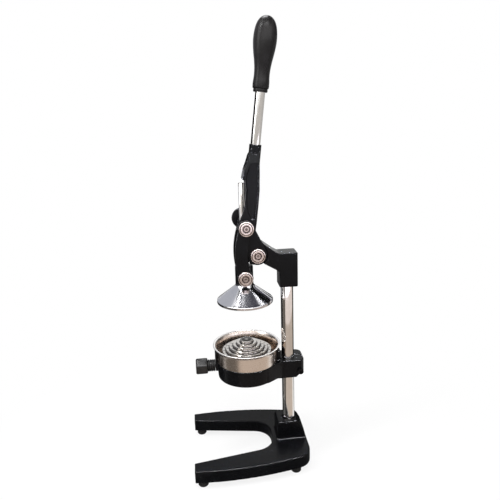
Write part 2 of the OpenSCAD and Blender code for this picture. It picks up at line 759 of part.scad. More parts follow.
// Side view of one cheek of the fork, joined to the body above the slot.
module cheek_shape() {
    ux = (ful_y - up_y) / crank;
    uz = (ful_z - up_z) / crank;
    eye = 13 * unit;
    translate([ful_y, ful_z]) circle(r = cheek_r);
    translate([up_y, up_z]) circle(r = eye);
    polygon([[ful_y + cheek_r * cos(bend_a), ful_z + cheek_r * sin(bend_a)], bend,
        at(0.3, 56), at(4.1, 86), at(6.5, 109), at(7.1, 0) + [0, slot_over + 4],
        at(-17, 0) + [0, slot_over + 4], at(-16.3, 112), at(-18.3, 89), at(-22.1, 74),
        [up_y - eye * cos(30), up_z + eye * sin(30)], [up_y + eye * uz, up_z - eye * ux],
        [ful_y + cheek_r * uz, ful_z - cheek_r * ux], [ful_y, ful_z]]);
}

module lever_fork() {
    neck_w = socket_d / 2 - 1;
    color(cast_black) difference() {
        union() {
            side(cheek_in, cheek_out) cheek_shape();
            side(-cheek_out, -cheek_in) cheek_shape();
            intersection() {
                side(-cheek_out, cheek_out) polygon([at(7, 0) + [0, slot_over],
                    at(7.9, 149.6), at(9, 165), at(10.5, 168), at(7.5, 175), at(-4.5, 175), at(-9.9, 166),
                    at(-13.3, 155), at(-17.9, 142.6), at(-21.3, 0) + [0, slot_over]]);
                rotate([90, 0, 0]) translate([0, 0, -60]) linear_extrude(height = 100)
                    polygon([[-cheek_out, slot_z - 1], [cheek_out, slot_z - 1],
                        [cheek_out, ful_z + 139 * unit], [neck_w, ful_z + 171 * unit],
                        [neck_w, ful_z + 177 * unit], [-neck_w, ful_z + 177 * unit],
                        [-neck_w, ful_z + 171 * unit], [-cheek_out, ful_z + 139 * unit]]);
            }
            on_lever() translate([0, 0, -socket_deep - 4]) cylinder(d = socket_d, h = socket_deep + 4);
        }
        bar_x(ful_y, ful_z, pivot_d / 2 + run_fit + 2 + seat_fit, -30, 30);
        bar_x(up_y, up_z, pivot_d / 2 + seat_fit, -30, 30);
        on_lever() translate([0, 0, -socket_deep]) cylinder(d = tube_d + 2 * seat_fit, h = 60);
        on_lever() translate([-20, 0, -pin_down]) rotate([0, 90, 0])
            cylinder(d = pin_d + 2 * seat_fit, h = 40);
    }
}

module lever_tube() {
    color(chrome) on_lever() difference() {
        translate([0, 0, -socket_deep + 0.2]) cylinder(d = tube_d, h = socket_deep + grip_at + tube_in);
        translate([0, 0, -socket_deep - 1]) cylinder(d = tube_d - 2 * tube_t, h = 300);
        translate([-20, 0, -pin_down]) rotate([0, 90, 0])
            cylinder(d = pin_d + 2 * seat_fit, h = 40);
    }
}

module tube_pin() {
    color(steel) on_lever() translate([-socket_d / 2 + 0.3, 0, -pin_down]) rotate([0, 90, 0])
        cylinder(d = pin_d, h = socket_d - 0.6);
}

module grip() {
    w = waist_d / 2;
    g = grip_d / 2;
    q = grip_len / 107;
    color(plastic) on_lever() translate([0, 0, grip_at + collar_h]) difference() {
        rotate_extrude() polygon([[0, 0], [w - 1, 0], [w + 0.2, 0.8], [w + 0.6, 4 * q],
            [w + 0.5, 10 * q], [w - 0.05, 16 * q], [w - 0.1, 22 * q], [w + 0.2, 28 * q], [w + 0.9, 35 * q],
            [w + 2.2, 43 * q], [w + 3.7, 51 * q], [g - 0.9, 60 * q], [g - 0.1, 68 * q], [g, 73 * q],
            [g - 0.3, 79 * q], [g - 1.2, 86 * q], [g - 2.6, 92 * q], [g - 5, 98 * q], [g - 8.6, 103 * q],
            [g - 12.5, grip_len - 1.2], [0, grip_len]]);
        translate([0, 0, -1]) cylinder(d = tube_d + 2 * seat_fit, h = tube_in - collar_h + 1.4);
    }
}

module grip_collar() {
    color(plastic) on_lever() translate([0, 0, grip_at]) difference() {
        union() {
            cylinder(d1 = collar_d - 1.6, d2 = collar_d, h = 1);
            translate([0, 0, 1]) cylinder(d = collar_d, h = collar_h - 1);
        }
        translate([0, 0, -1]) cylinder(d = tube_d + 2 * seat_fit, h = 20);
    }
}

base_casting();
rubber_feet();
foot_screws();
post();
post_bolt();
post_washer();
head_bracket();
head_set_screws();
guide_bush();
fulcrum_bolt();
fulcrum_nut();
cup_holder();
clamp_screw();
clamp_nut();
knob();
knob_stud();
cup();
cup_bowl();
cup_spout();
strainer();
press_cone();
guide_rod();
rod_nut();
lower_bolt();
lower_nut();
link_near();
link_far();
upper_bolt_heads();
upper_bolt_shanks();
fulcrum_bushes();
lever_fork();
lever_tube();
tube_pin();
grip();
grip_collar();
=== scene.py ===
import bpy
import bmesh
import json
import math
from mathutils import Matrix, Vector

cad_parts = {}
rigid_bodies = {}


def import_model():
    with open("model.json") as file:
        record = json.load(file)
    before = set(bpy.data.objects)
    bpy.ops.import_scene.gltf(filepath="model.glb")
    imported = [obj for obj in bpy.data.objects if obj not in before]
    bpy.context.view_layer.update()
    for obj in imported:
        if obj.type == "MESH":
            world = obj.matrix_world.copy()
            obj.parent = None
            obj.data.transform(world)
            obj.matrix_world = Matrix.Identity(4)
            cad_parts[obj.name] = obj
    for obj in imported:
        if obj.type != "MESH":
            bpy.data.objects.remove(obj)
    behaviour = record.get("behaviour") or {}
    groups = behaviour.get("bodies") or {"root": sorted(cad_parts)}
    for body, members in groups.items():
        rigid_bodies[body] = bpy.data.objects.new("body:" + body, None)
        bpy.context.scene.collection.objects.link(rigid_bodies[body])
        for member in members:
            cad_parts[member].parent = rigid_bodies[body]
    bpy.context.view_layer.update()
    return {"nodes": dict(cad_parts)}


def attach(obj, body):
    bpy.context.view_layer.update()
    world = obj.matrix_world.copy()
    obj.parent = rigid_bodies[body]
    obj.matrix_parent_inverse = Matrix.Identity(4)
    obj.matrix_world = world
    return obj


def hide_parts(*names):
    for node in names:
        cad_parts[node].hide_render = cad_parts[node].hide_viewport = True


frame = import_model()
cad = frame["nodes"]
mm = 0.001
weldWithin = 2e-6       # metres between points that are one
print("frame loaded:", len(cad), "nodes")


class Value:
    # a socket that can be used in sums, so 1 - mask adds its own Math node
    def __init__(self, tree, socket):
        self.tree, self.socket = tree, socket

    def sum(self, operation, first, second, clamp=False):
        node = self.tree.nodes.new("ShaderNodeMath")
        node.operation, node.use_clamp = operation, clamp
        for slot, term in ((0, first), (1, second)):
            if isinstance(term, Value):
                self.tree.links.new(term.socket, node.inputs[slot])
            elif term is not None:
                node.inputs[slot].default_value = term
        return Value(self.tree, node.outputs[0])

    def __add__(self, other):
        return self.sum("ADD", self, other)

    def __radd__(self, other):
        return self.sum("ADD", other, self)

    def __sub__(self, other):
        return self.sum("SUBTRACT", self, other)

    def __rsub__(self, other):
        return self.sum("SUBTRACT", other, self)

    def __mul__(self, other):
        return self.sum("MULTIPLY", self, other)

    def __rmul__(self, other):
        return self.sum("MULTIPLY", other, self)

    def __truediv__(self, other):
        return self.sum("DIVIDE", self, other)

    def __pow__(self, other):
        return self.sum("POWER", self, other)

    def over(self, level):
        return self.sum("GREATER_THAN", self, level)

    def sine(self):
        return self.sum("SINE", self, None)

    def size(self):
        return self.sum("ABSOLUTE", self, None)

    def part(self):
        return self.sum("FRACT", self, None)

    def clamp(self):
        return self.sum("ADD", self, 0.0, clamp=True)


class Graph:
    # a node tree; add() makes any node from its type, settings and sockets
    def __init__(self, tree):
        self.tree = tree
        tree.nodes.clear()

    def add(self, kind, settings=None, sockets=None, out=0):
        node = self.tree.nodes.new(kind)
        for key, value in (settings or {}).items():
            setattr(node, key, value)
        for key, value in (sockets or {}).items():
            self.feed(node.inputs[key], value)
        return Value(self.tree, node.outputs[out]) if len(node.outputs) else node

    def feed(self, socket, value):
        if isinstance(value, Value):
            self.tree.links.new(value.socket, socket)
        else:
            socket.default_value = value

    def seen(self):
        # 1 where the camera, a gloss or a glass looks, 0 for the light that falls on things
        kinds = ("Camera", "Glossy", "Transmission")
        rays = [self.add("ShaderNodeLightPath", out="Is %s Ray" % kind) for kind in kinds]
        return (rays[0] + rays[1] + rays[2]).clamp()


class Finish(Graph):
    # one material round a Principled shader
    def __init__(self, name):
        self.material = bpy.data.materials.new(name)
        self.material.use_nodes = True
        super().__init__(self.material.node_tree)
        self.shader = self.tree.nodes.new("ShaderNodeBsdfPrincipled")
        self.output = self.tree.nodes.new("ShaderNodeOutputMaterial")
        self.tree.links.new(self.shader.outputs[0], self.output.inputs[0])
        self.coords = self.add("ShaderNodeTexCoord", out="Object")

    def set(self, **values):
        for key, value in values.items():
            self.feed(self.shader.inputs[key.replace("_", " ")], value)
        return self

    def noise(self, scale, detail=3, rough=0.5, stretch=None):
        at = self.coords
        if stretch:
            at = self.add("ShaderNodeMapping", sockets={"Vector": at, "Scale": stretch})
        return self.add("ShaderNodeTexNoise", sockets={
            "Vector": at, "Scale": scale, "Detail": detail, "Roughness": rough})

    def tint(self, mask, dark, light):
        first, second = (c if isinstance(c, Value) else (*c, 1) for c in (dark, light))
        return self.add("ShaderNodeMix", {"data_type": "RGBA"}, {0: mask, 6: first, 7: second}, out=2)

    def bump(self, height, strength, depth, below=None):
        sockets = {"Height": height, "Strength": strength, "Distance": depth}
        if below is not None:
            sockets["Normal"] = below
        return self.add("ShaderNodeBump", sockets=sockets)

    def axes(self):
        node = self.tree.nodes.new("ShaderNodeSeparateXYZ")
        self.tree.links.new(self.coords.socket, node.inputs[0])
        return [Value(self.tree, node.outputs[i]) for i in range(3)]

    def spread(self, first, second):
        # distance from an axis, from two offsets
        return (first * first + second * second) ** 0.5

    def wave(self, distance, pitch):
        # fine turned lines, one every pitch metres
        wobble = self.noise(90, 2) * 0.00006
        return ((distance + wobble) * (2 * math.pi / pitch)).sine() * 0.5 + 0.5

    def band(self, distance, middle, width):
        # 1 at the middle, falling to 0 a width away
        return (1 - (distance - middle).size() / width).clamp()


enamelLook = {
    "dark": (0.0018, 0.0019, 0.0024),
    "light": (0.0052, 0.0054, 0.0066),
    "roughness": (0.18, 0.32),
    "peelScale": 420,       # orange peel of sprayed enamel, about 2 mm
    "peelBump": (0.14, 0.0006),     # bumps are [strength, depth in metres]
    "grainScale": 1500,     # the casting's sand grain under it
    "grainDepth": 0.00025,
    "gloss": 0.12,
}


def castEnamel(name, look, sandiness=0.25):
    finish = Finish(name)
    patches = finish.noise(38, 4, 0.6)
    peel = finish.noise(look["peelScale"], 2, 0.4)
    grain = finish.noise(look["grainScale"], 3, 0.55)
    low, high = look["roughness"]
    first = finish.bump(peel, *look["peelBump"])
    normal = finish.bump(grain, sandiness, look["grainDepth"], first)
    return finish.set(
        Base_Color=finish.tint(patches, look["dark"], look["light"]),
        Roughness=patches * 0.5 * (high - low) + (grain * 0.5 * (high - low) + low),
        Specular_IOR_Level=look["gloss"], Normal=normal).material


chromeLook = {
    "dark": (0.70, 0.67, 0.64),
    "light": (0.86, 0.84, 0.81),
    "roughness": (0.05, 0.12),
    "grinding": (60, 60, 2600),
    "bump": (0.05, 0.00004),
}


def polishedBar(name, look):
    # ground and plated bar: faint streaks round it and light handling marks
    finish = Finish(name)
    streaks = finish.noise(1, 2, 0.5, stretch=look["grinding"])
    marks = finish.noise(55, 4, 0.65)
    low, high = look["roughness"]
    return finish.set(
        Base_Color=finish.tint(marks, look["dark"], look["light"]), Metallic=1.0,
        Roughness=marks * (high - low) + low,
        Normal=finish.bump(streaks, *look["bump"])).material


cupLook = {
    "dark": (0.58, 0.50, 0.44),
    "light": (0.84, 0.76, 0.69),
    # painted highlight: the rolled lip is tinted lighter than the body
    "lip": (0.93, 0.91, 0.89),
    "lipFrom": 0.2230,
    # painted shade: the inside of the cup is tinted darker than the outside
    "inside": (0.46, 0.40, 0.355),
    "warmReflection": (0.34, 0.20, 0.10),    # painted reflection of a warm brown surrounding, in blotches on the +y half of the inside
    "insideTo": 0.0532,
    "roughness": (0.20, 0.34),
    "pitch": 0.0005,
    "brushing": (14, 14, 1900),
    "edgeFade": 0.0006,
    "bump": (0.10, 0.00003),
}


def spunSteel(name, look):
    # brushed round the cup's axis
    finish = Finish(name)
    x, y, z = finish.axes()
    streaks = finish.noise(1, 3, 0.6, stretch=look["brushing"])
    stains = finish.noise(26, 4, 0.6)
    low, high = look["roughness"]
    tone = (stains * 0.6 + streaks * 0.4).clamp()
    # painted highlight on the lip, above a given height
    lip = ((z - look["lipFrom"]) / look["edgeFade"]).clamp()
    # painted shade: everything nearer the axis than the outer wall, the inside and the narrow foot, is
    # tinted darker
    inner = ((look["insideTo"] - finish.spread(x, y)) / look["edgeFade"]).clamp()
    inside = inner * (tone * 0.5 + 0.5)
    # painted reflection: warm brown blotches on the +y half of the inside
    warmReflectionPatch = (y / 0.03).clamp() * (stains * 2.2 - 0.5).clamp()
    within = finish.tint(warmReflectionPatch, look["inside"], look["warmReflection"])
    shell = finish.tint(inside, finish.tint(tone, look["dark"], look["light"]), within)
    lines = finish.wave(z, look["pitch"])
    return finish.set(
        Base_Color=finish.tint(lip, shell, look["lip"]), Metallic=1.0,
        Roughness=tone * (high - low) + low,
        Normal=finish.bump(lines * 0.5 + streaks * 0.5, *look["bump"])).material


coneLook = {
    "dark": (0.62, 0.62, 0.65),
    "light": (0.84, 0.84, 0.86),
    "roughness": (0.09, 0.18),
    "pitch": 0.00055,
    # painted shade: the hub is tinted near black
    "hub": (0.05, 0.05, 0.055),
    "hubFrom": 0.335,
    "hubFade": 0.004,
    "bump": (0.09, 0.00003),
}


def turnedCone(name, look):
    # turned aluminium; its hub is painted near black as shade, and made rougher
    finish = Finish(name)
    x, y, z = finish.axes()
    stains = finish.noise(30, 4, 0.6)
    streaks = finish.noise(70, 3, 0.6)
    # painted shade on the hub, above a given height
    hub = ((z - look["hubFrom"]) / look["hubFade"]).clamp()
    low, high = look["roughness"]
    bright = finish.tint(stains * 0.6 + streaks * 0.4, look["dark"], look["light"])
    lines = finish.wave(finish.spread(x, y), look["pitch"])
    return finish.set(
        Base_Color=finish.tint(hub, bright, look["hub"]), Metallic=1.0,
        Roughness=stains * (high - low) + (hub * 0.22 + low),
        Normal=finish.bump(lines + streaks, *look["bump"])).material


domeLook = {
    "dark": (0.32, 0.30, 0.28),
    "light": (0.82, 0.80, 0.77),
    # painted shade colour for the ring seams, also used for the darker ring on the top disc
    "seamShadeAndTopDark": (0.018, 0.015, 0.013),
    "roughness": (0.10, 0.22),
    "seamShadeWidth": 0.36,
    "topWidth": 0.62,
    "pitch": 0.0004,
    "bump": (0.08, 0.00003),
}


def domeSteel(name, look, size):
    # bright treads, with painted shade in the seams where one ring stands on the next and a darker ring on
    # the top disc
    finish = Finish(name)
    x, y, z = finish.axes()
    distance = finish.spread(x, y)
    pitch = (size["radius"] - size["disc"]) / size["rings"] * mm
    turn = (distance - size["disc"] * mm) / pitch
    outside = (distance - size["disc"] * 0.98 * mm).over(0.0)
    # painted shade in the crease at the foot of each ring
    seam = finish.band(turn.part(), 0.02, look["seamShadeWidth"]) * outside
    eye = finish.band(distance, size["disc"] * 0.52 * mm, look["topWidth"] * size["disc"] * mm)
    cloud = finish.noise(140, 4, 0.7)
    low, high = look["roughness"]
    mask = ((seam + eye) * (cloud * 1.3 + 0.75)).clamp()
    bright = finish.tint(cloud, look["dark"], look["light"])
    return finish.set(
        Base_Color=finish.tint(mask, bright, look["seamShadeAndTopDark"]), Metallic=1.0,
        Roughness=cloud * (high - low) + low,
        Normal=finish.bump(finish.wave(distance, look["pitch"]) + cloud, *look["bump"])).material


boltLook = {
    "dark": (0.40, 0.33, 0.31),
    "light": (0.93, 0.85, 0.82),
    "seam": (0.034, 0.014, 0.010),
    "roughness": (0.16, 0.34),
    "rings": ((10.2, 1.1), (5.2, 2.4), (1.2, 2.0)),     # [radius, width] of each dirty groove
    "pitch": 0.0016,
    "bump": (0.35, 0.0001),
}


def boltSteel(name, look, centre):
    # facing cuts left by the lathe, centred on one bolt, with dirt in the grooves
    finish = Finish(name)
    x, y, z = finish.axes()
    distance = finish.spread(y - centre[0] * mm, z - centre[1] * mm)
    stains = finish.noise(420, 4, 0.7)
    dirt = 0.0
    for middle, width in look["rings"]:
        dirt = finish.band(distance, middle * mm, width * mm) + dirt
    low, high = look["roughness"]
    lines = finish.wave(distance, look["pitch"])
    steel = finish.tint((stains * 2.4 + lines * 0.6 - 1.0).clamp(), look["dark"], look["light"])
    soiled = (dirt * (stains * 5.2 - 1.5)).clamp()
    return finish.set(
        Base_Color=finish.tint(soiled, steel, look["seam"]), Metallic=1.0,
        Roughness=stains * (high - low) + low,
        Normal=finish.bump(lines * 0.4 + stains, *look["bump"])).material


gripLook = {
    "dark": (0.0060, 0.0054, 0.0056),
    "light": (0.0115, 0.0102, 0.0104),
    "roughness": (0.24, 0.38),
    "gloss": 0.17,
}
knobLook = {
    "dark": (0.0030, 0.0028, 0.0028),
    "light": (0.0190, 0.0180, 0.0180),
    "roughness": (0.24, 0.38),
    "gloss": 0.42,
}


def mouldedPlastic(name, look):
    finish = Finish(name)
    cloud = finish.noise(60, 4, 0.6)
    pores = finish.noise(2200, 2, 0.5)
    low, high = look["roughness"]
    return finish.set(
        Base_Color=finish.tint(cloud, look["dark"], look["light"]),
        Roughness=cloud * (high - low) + low, Specular_IOR_Level=look["gloss"],
        Normal=finish.bump(pores, 0.07, 0.0001)).material


plainLooks = {
    "rubber": {
        "dark": (0.006, 0.006, 0.006), "light": (0.013, 0.013, 0.012),
        "roughness": (0.65, 0.85), "metal": 0.0, "grain": 900},
    "zinc": {
        "dark": (0.34, 0.34, 0.35), "light": (0.55, 0.55, 0.56),
        "roughness": (0.28, 0.46), "metal": 1.0, "grain": 420},
    "blackOxide": {
        "dark": (0.016, 0.016, 0.018), "light": (0.034, 0.034, 0.037),
        "roughness": (0.34, 0.52), "metal": 1.0, "grain": 420},
    "bronze": {
        "dark": (0.36, 0.24, 0.11), "light": (0.58, 0.42, 0.22),
        "roughness": (0.24, 0.42), "metal": 1.0, "grain": 650},
}


def plainFinish(name, look):
    finish = Finish(name)
    cloud = finish.noise(look["grain"] / 9, 4, 0.65)
    grain = finish.noise(look["grain"], 3, 0.55)
    low, high = look["roughness"]
    mask = (cloud * 0.6 + grain * 0.4).clamp()
    return finish.set(
        Base_Color=finish.tint(mask, look["dark"], look["light"]), Metallic=look["metal"],
        Roughness=mask * (high - low) + low,
        Normal=finish.bump(grain, 0.12, 0.0001)).material


def smoothShade(obj, angle=35):
    for face in obj.data.polygons:
        face.use_smooth = True
    obj.data.set_sharp_from_angle(angle=math.radians(angle))


def newPiece(name, mesh, material, angle=35):
    obj = bpy.data.objects.new(name, mesh)
    bpy.context.scene.collection.objects.link(obj)
    mesh.materials.clear()
    mesh.materials.append(material)
    smoothShade(obj, angle)
    return obj


def install(obj, body, slot, *nodes):
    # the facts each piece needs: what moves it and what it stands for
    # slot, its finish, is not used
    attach(obj, body)
    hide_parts(*nodes)


def freeze(obj):
    # what the modifiers make of obj, as a plain mesh
    shapes = bpy.context.evaluated_depsgraph_get()
    mesh = bpy.data.meshes.new_from_object(obj.evaluated_get(shapes))
    mesh.name = obj.name
    bpy.data.objects.remove(obj)
    return mesh


def rounded(points, radius, steps=4, closed=False):
    # cuts the corners of a profile with short curves; a third value gives a corner its own radius
    out = []
    last = len(points) - 1
    for i, point in enumerate(points):
        own = point[2] if len(point) > 2 else radius
        here = Vector(point[:2])
        if (not closed and i in (0, last)) or own == 0:
            out.append(tuple(here))
            continue
        back = Vector(points[i - 1][:2]) - here
        ahead = Vector(points[(i + 1) % len(points)][:2]) - here
        reach = min(own, back.length * 0.45, ahead.length * 0.45)
        start, end = here + back.normalized() * reach, here + ahead.normalized() * reach
        for k in range(steps + 1):
            t = k / steps
            out.append(tuple(start * (1 - t) ** 2 + here * 2 * t * (1 - t) + end * t ** 2))
    return out


def flowing(points, steps=6):
    # a smooth line through the points
    out = []
    for i in range(len(points) - 1):
        a, b = Vector(points[max(i - 1, 0)]), Vector(points[i])
        c, d = Vector(points[i + 1]), Vector(points[min(i + 2, len(points) - 1)])
        for k in range(steps):
            t = k / steps
            out.append(tuple(0.5 * ((2 * b) + (c - a) * t + (2 * a - 5 * b + 4 * c - d) * t * t
                                    + (3 * b - a - 3 * c + d) * t ** 3)))
    return out + [tuple(points[-1])]


def turned(profile, place=None, steps=96, closed=False):
    # spins a profile of [radius, height] in millimetres about its own z, then places it
    shape = bmesh.new()
    loops = []
    for radius, height in profile:
        if radius < 1e-6:
            loops.append([shape.verts.new((0, 0, height * mm))] * steps)
        else:
            loops.append([shape.verts.new((radius * mm * math.cos(2 * math.pi * k / steps),
                                           radius * mm * math.sin(2 * math.pi * k / steps),
                                           height * mm)) for k in range(steps)])
    pairs = list(zip(loops, loops[1:]))
    if closed:
        pairs.append((loops[-1], loops[0]))
    for low, high in pairs:
        for k in range(steps):
            corners = [low[k], low[(k + 1) % steps], high[(k + 1) % steps], high[k]]
            corners = [c for n, c in enumerate(corners) if c not in corners[:n]]
            if len(corners) > 2:
                shape.faces.new(corners)
    bmesh.ops.recalc_face_normals(shape, faces=shape.faces)
    if place:
        shape.transform(place)
    mesh = bpy.data.meshes.new("turned")
    shape.to_mesh(mesh)
    shape.free()
    return mesh


def joined(meshes):
    shape = bmesh.new()
    for mesh in meshes:
        shape.from_mesh(mesh)
        bpy.data.meshes.remove(mesh)
    mesh = bpy.data.meshes.new("joined")
    shape.to_mesh(mesh)
    shape.free()
    return mesh


def slab(outline, x0, x1):
    # a plate whose outline is given as [y, z] in millimetres
    shape = bmesh.new()
    near = [shape.verts.new((x0 * mm, y * mm, z * mm)) for y, z in outline]
    far = [shape.verts.new((x1 * mm, y * mm, z * mm)) for y, z in outline]
    shape.faces.new(near)
    shape.faces.new(far)
    for k in range(len(outline)):
        n = (k + 1) % len(outline)
        shape.faces.new((near[k], near[n], far[n], far[k]))
    bmesh.ops.recalc_face_normals(shape, faces=shape.faces)
    mesh = bpy.data.meshes.new("slab")
    shape.to_mesh(mesh)
    shape.free()
    return mesh


def softCopy(node, voxel, passes, cutters=(), added=()):
    # a cast copy of a CAD node: its edges rounded, its flats kept
    shape = bmesh.new()
    shape.from_mesh(cad[node].data)
    bmesh.ops.remove_doubles(shape, verts=shape.verts, dist=weldWithin)
    for lump in added:
        shape.from_mesh(lump)
        bpy.data.meshes.remove(lump)
    mesh = bpy.data.meshes.new(node + "Copy")
    shape.to_mesh(mesh)
    shape.free()
    obj = bpy.data.objects.new(node + "Copy", mesh)
    bpy.context.scene.collection.objects.link(obj)
    tools = []
    for cutter in cutters:
        tool = bpy.data.objects.new("cutter", cutter)
        bpy.context.scene.collection.objects.link(tool)
        tools.append(tool)
        cut = obj.modifiers.new("cut", "BOOLEAN")
        cut.operation, cut.solver, cut.object = "DIFFERENCE", "EXACT", tool
    grid = obj.modifiers.new("grid", "REMESH")
    grid.mode, grid.voxel_size = "VOXEL", voxel * mm
    soften = obj.modifiers.new("soften", "SMOOTH")
    soften.factor, soften.iterations = 0.5, passes
    mesh = freeze(obj)
    for tool in tools:
        bpy.data.objects.remove(tool)
    return mesh


def alongX(y, z, x=0.0, flip=False):
    # turns a lathe piece so that its axis runs along x, its top towards +x or -x
    turn = Matrix.Rotation(math.radians(-90 if flip else 90), 4, "Y")
    return Matrix.Translation((x * mm, y * mm, z * mm)) @ turn


enamel = castEnamel("blackEnamel", enamelLook)
linkEnamel = castEnamel("linkEnamel", enamelLook, sandiness=0.12)
postChrome = polishedBar("postChrome", chromeLook)
coneMetal = turnedCone("coneAluminium", coneLook)
cupSteel = spunSteel("cupSteel", cupLook)
gripPlastic = mouldedPlastic("gripPlastic", gripLook)
knobPlastic = mouldedPlastic("knobPlastic", knobLook)
rubber, zinc, blackOxide, bronze = (
    plainFinish(name, plainLooks[name]) for name in ("rubber", "zinc", "blackOxide", "bronze"))
print("materials made")


allSmooth = 180     # an angle that leaves no edge sharp
castings = {
    # voxel in millimetres, and how many smoothing passes round the edges
    "base_casting": {"name": "baseCasting", "body": "stand", "voxel": 1.15, "passes": 8},
    "head_bracket": {"name": "headBracket", "body": "stand", "voxel": 0.8, "passes": 7},
    "cup_holder": {"name": "cupHolder", "body": "holder", "voxel": 0.8, "passes": 6},
    "lever_fork": {"name": "leverFork", "body": "lever", "voxel": 0.8, "passes": 7},
}
channel = {
    # hollow in each side face of the lever, [y, z]
    "outline": [
        (7.6, 466.0), (14.0, 451.0), (18.6, 450.0), (23.4, 475.0), (26.0, 498.0), (27.2, 518.0),
        (28.2, 536.0), (29.2, 551.0), (20.6, 553.0), (14.0, 536.0), (8.4, 523.0), (7.4, 512.0),
        (8.4, 501.0), (7.2, 480.0)],
    "depth": 2.8,
    "face": 15.6,
    "clear": 2,             # how far the cutter stands out of the face
}
guideLip = {
    # lip of the head bracket beside the guide rod, [y, z]
    "outline": [
        (5.9, 385.0), (5.9, 376.4), (9.4, 376.4), (9.4, 373.4), (13.5, 372.4), (13.5, 385.0)],
    "halfWidth": 7.9,
}


def makeCastings():
    for node, size in castings.items():
        cutters, added = [], []
        if node == "head_bracket":
            added.append(slab(guideLip["outline"], -guideLip["halfWidth"], guideLip["halfWidth"]))
        if node == "lever_fork":
            for side in (-1, 1):
                floor = side * (channel["face"] - channel["depth"])
                clear = side * (channel["face"] + channel["clear"])
                cutters.append(slab(channel["outline"], *sorted((floor, clear))))
        mesh = softCopy(node, size["voxel"], size["passes"], cutters, added)
        install(newPiece(size["name"], mesh, enamel, allSmooth), size["body"], "black_casting", node)
        print("cast piece", size["name"], len(mesh.polygons))


links = {
    "names": {"link_near": "linkNear", "link_far": "linkFar"},
    "voxel": 0.55,
    "passes": 4,
}


def makeLinks():
    for node, name in links["names"].items():
        mesh = softCopy(node, links["voxel"], links["passes"])
        install(newPiece(name, mesh, linkEnamel, allSmooth), "links", "black_casting", node)
    print("links made")


post = {"radius": 11.0, "y": 74.0, "low": 28.2, "high": 377.8, "chamfer": 1.0, "steps": 128}
rod = {"radius": 5.0, "low": 358.2, "high": 510.0, "chamfer": 1.0}
tube = {"radius": 8.0, "bore": 6.5, "low": -33.7, "high": 172.6, "lean": 7.0, "mouth": (25.8, 571.0)}


def leverPlace(size):
    y, z = size["mouth"]
    return Matrix.Translation((0, y * mm, z * mm)) @ Matrix.Rotation(math.radians(-size["lean"]), 4, "X")


def barProfile(size):
    r, c = size["radius"], size["chamfer"]
    return [(0, size["low"]), (r - c, size["low"]), (r, size["low"] + c), (r, size["high"] - c),
            (r - 0.35 * c, size["high"] - 0.35 * c), (r - c, size["high"]), (0, size["high"])]


def makeBars():
    mesh = turned(barProfile(post), Matrix.Translation((0, post["y"] * mm, 0)), post["steps"])
    install(newPiece("postBar", mesh, postChrome), "stand", "post_chrome", "post")
    mesh = turned(barProfile(rod))
    install(newPiece("guideRod", mesh, postChrome), "ram", "post_chrome", "guide_rod")
    r, b = tube["radius"], tube["bore"]
    ring = [(b, tube["low"]), (r, tube["low"]), (r, tube["high"]), (b, tube["high"])]
    mesh = turned(ring, leverPlace(tube), closed=True)
    install(newPiece("leverTube", mesh, postChrome), "lever", "post_chrome", "lever_tube")
    print("bars made")


grip = {
    "start": 86.0,          # from the socket's mouth to the grip's lower end
    "length": 107.0,
    "bore": 8.05,
    "boreDeep": 86.8,
    "outline": [
        (11.5, 0.0), (12.65, 0.7), (13.1, 3.6), (13.05, 10), (12.55, 16), (12.4, 22), (12.65, 28),
        (13.35, 35), (14.6, 43), (16.15, 51), (17.55, 60), (18.35, 68), (18.5, 73.5), (18.2, 80),
        (17.3, 87), (15.8, 93), (13.4, 98.6), (10.2, 102.8), (6.4, 105.6), (3.0, 106.7), (0.0, 107.0)],
    "ringAt": 80.6,
    "ringRadius": 11.5,
    "ringHeight": 5.3,
}


def makeGrip():
    body = flowing(grip["outline"], 5)
    body[-1] = (0.0, grip["length"])
    hollow = [(0.0, grip["boreDeep"]), (grip["bore"], grip["boreDeep"]), (grip["bore"], 0.0)]
    place = leverPlace(tube) @ Matrix.Translation((0, 0, grip["start"] * mm))
    mesh = turned(hollow + body, place)
    install(newPiece("leverGrip", mesh, gripPlastic), "lever", "black_plastic", "grip")
    r, h = grip["ringRadius"], grip["ringHeight"]
    ring = rounded([(grip["bore"], 0), (r - 0.6, 0), (r, 0.9), (r, h), (grip["bore"], h)], 0.5, 3, True)
    place = leverPlace(tube) @ Matrix.Translation((0, 0, grip["ringAt"] * mm))
    mesh = turned(ring, place, closed=True)
    install(newPiece("gripRing", mesh, gripPlastic), "lever", "black_plastic", "grip_collar")
    print("grip made")


cup = {
    "steps": 128,
    "profile": [  # outside up, over the lip, then down the inside
        (12.4, 153.1, 0.4), (13.95, 153.1, 0.4), (13.95, 163.1, 3), (43.0, 170.45, 1.5),
        (47.8, 170.45, 1.5), (49.75, 172.6, 1.5), (49.75, 194.1, 0.3), (53.65, 194.1, 0.6),
        (53.65, 216.4, 3.0), (54.9, 220.0, 2.0), (58.3, 222.5, 1.5), (59.9, 223.3, 0.5),
        (59.95, 224.2, 0.4), (59.3, 224.55, 0.4), (57.6, 224.5, 0.6), (56.0, 223.8, 1.2),
        (53.7, 219.6, 2.0), (52.15, 214.6, 3.0), (52.15, 196.0, 0.3), (48.25, 196.0, 0.3),
        (48.25, 174.0, 1.5), (41.0, 172.05, 1.5), (12.4, 164.1, 3.0)],
}
strainer = {
    "steps": 120,           # of the lathe, round the axis
    "step": 196.0,          # height of the seat in the cup
    "wall": 1.4,
    "rings": 5,
    "radius": 44.0,
    "disc": 11.5,
    "height": 36.0,
    "firstHeight": 17.7,    # of the outermost ring above the step
    "flange": 51.65,
    "holeRadius": 1.3,
    "holeRows": 3,
    "outerHoles": 24,
    "fewer": 4,             # each row further in has this many holes less
    "holeMiddle": 15,       # middle of the drill above the step
    "holeDeep": 60,
    "dish": 1.0,
}
